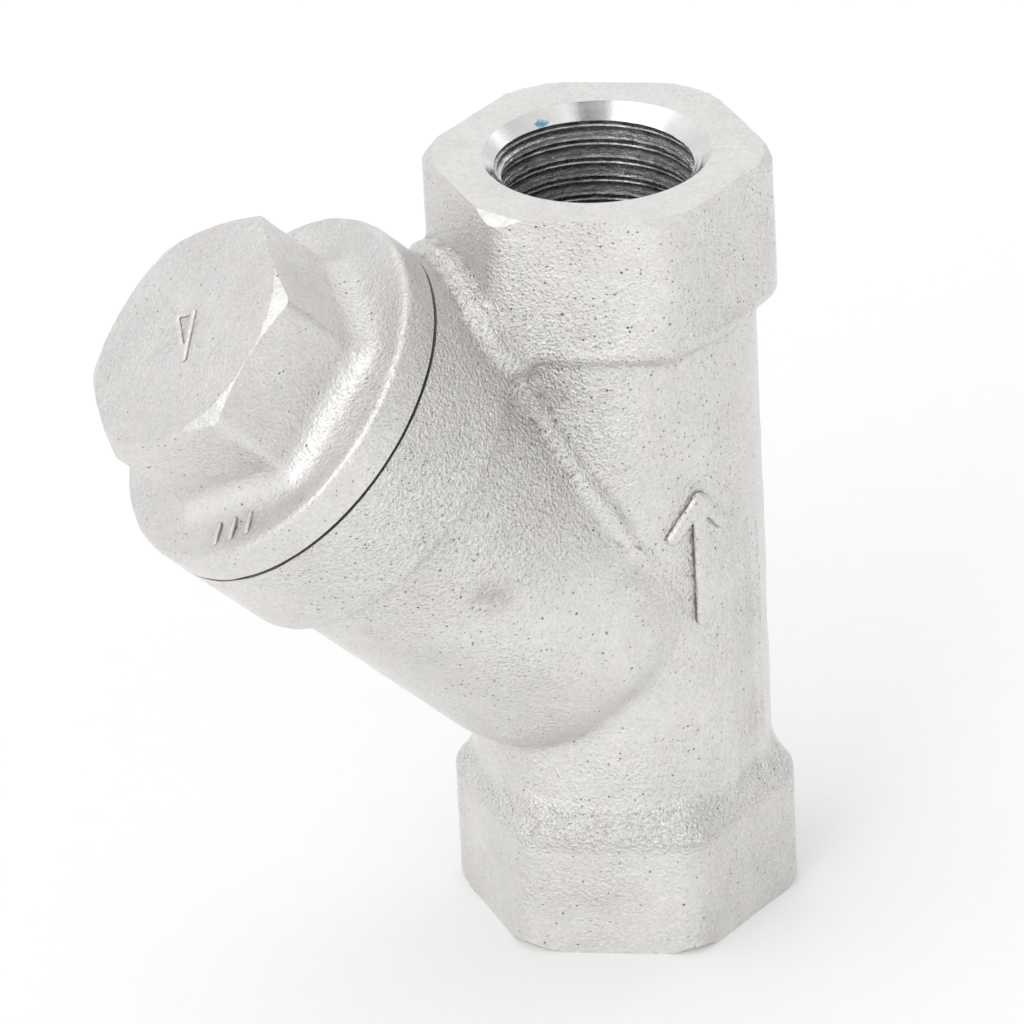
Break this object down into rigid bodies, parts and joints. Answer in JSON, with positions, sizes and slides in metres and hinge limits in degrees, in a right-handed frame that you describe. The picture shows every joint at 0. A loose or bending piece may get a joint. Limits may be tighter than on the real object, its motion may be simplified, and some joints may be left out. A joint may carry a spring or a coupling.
{
  "type": "y strainer",
  "caption": "Threaded Y strainer: straight run with hexagon sockets, a 45 degree screen branch, a screwed hexagon cap and a basket screen inside.",
  "frame": {"origin": "centre of the inlet end face, on the run axis", "axes": "+Z along the run from the inlet to the outlet; the screen branch lies in the XZ plane and leans towards -X and +Z; +Y across"},
  "size_m": [0.0538, 0.03, 0.065],
  "materials": {
    "cast_stainless": "fine blasted casting",
    "gasket": "matt",
    "screen_sheet": "rolled sheet",
    "screen_mesh": "woven wire"
  },
  "bodies": {
    "housing": {"strainer_body": "cast_stainless"},
    "gasket": {"cap_gasket": "gasket"},
    "cap": {"hex_cap": "cast_stainless"},
    "screen": {"screen_sleeve": "screen_sheet", "screen_mesh_liner": "screen_mesh", "screen_seat_rim": "screen_sheet", "screen_cap_rim": "screen_sheet"}
  },
  "joints": [
    {"name": "cap_travel", "type": "slide", "parent": "housing", "child": "gasket", "axis": [-0.7071, 0, 0.7071], "range_m": [0, 0.06]},
    {"name": "cap_turn", "type": "hinge", "parent": "gasket", "child": "cap", "pos_m": [-0.02634, 0, 0.04938], "axis": [-0.7071, 0, 0.7071], "range_deg": [0, 14400]},
    {"name": "screen_travel", "type": "slide", "parent": "housing", "child": "screen", "axis": [-0.7071, 0, 0.7071], "range_m": [0, 0.036]}
  ],
  "couplings": [
    {"joint": "cap_travel", "follows": "cap_turn", "m_per_rad": 0.00023873},
    {"joint": "screen_travel", "follows": "cap_turn", "m_per_rad": 0.00014324}
  ]
}
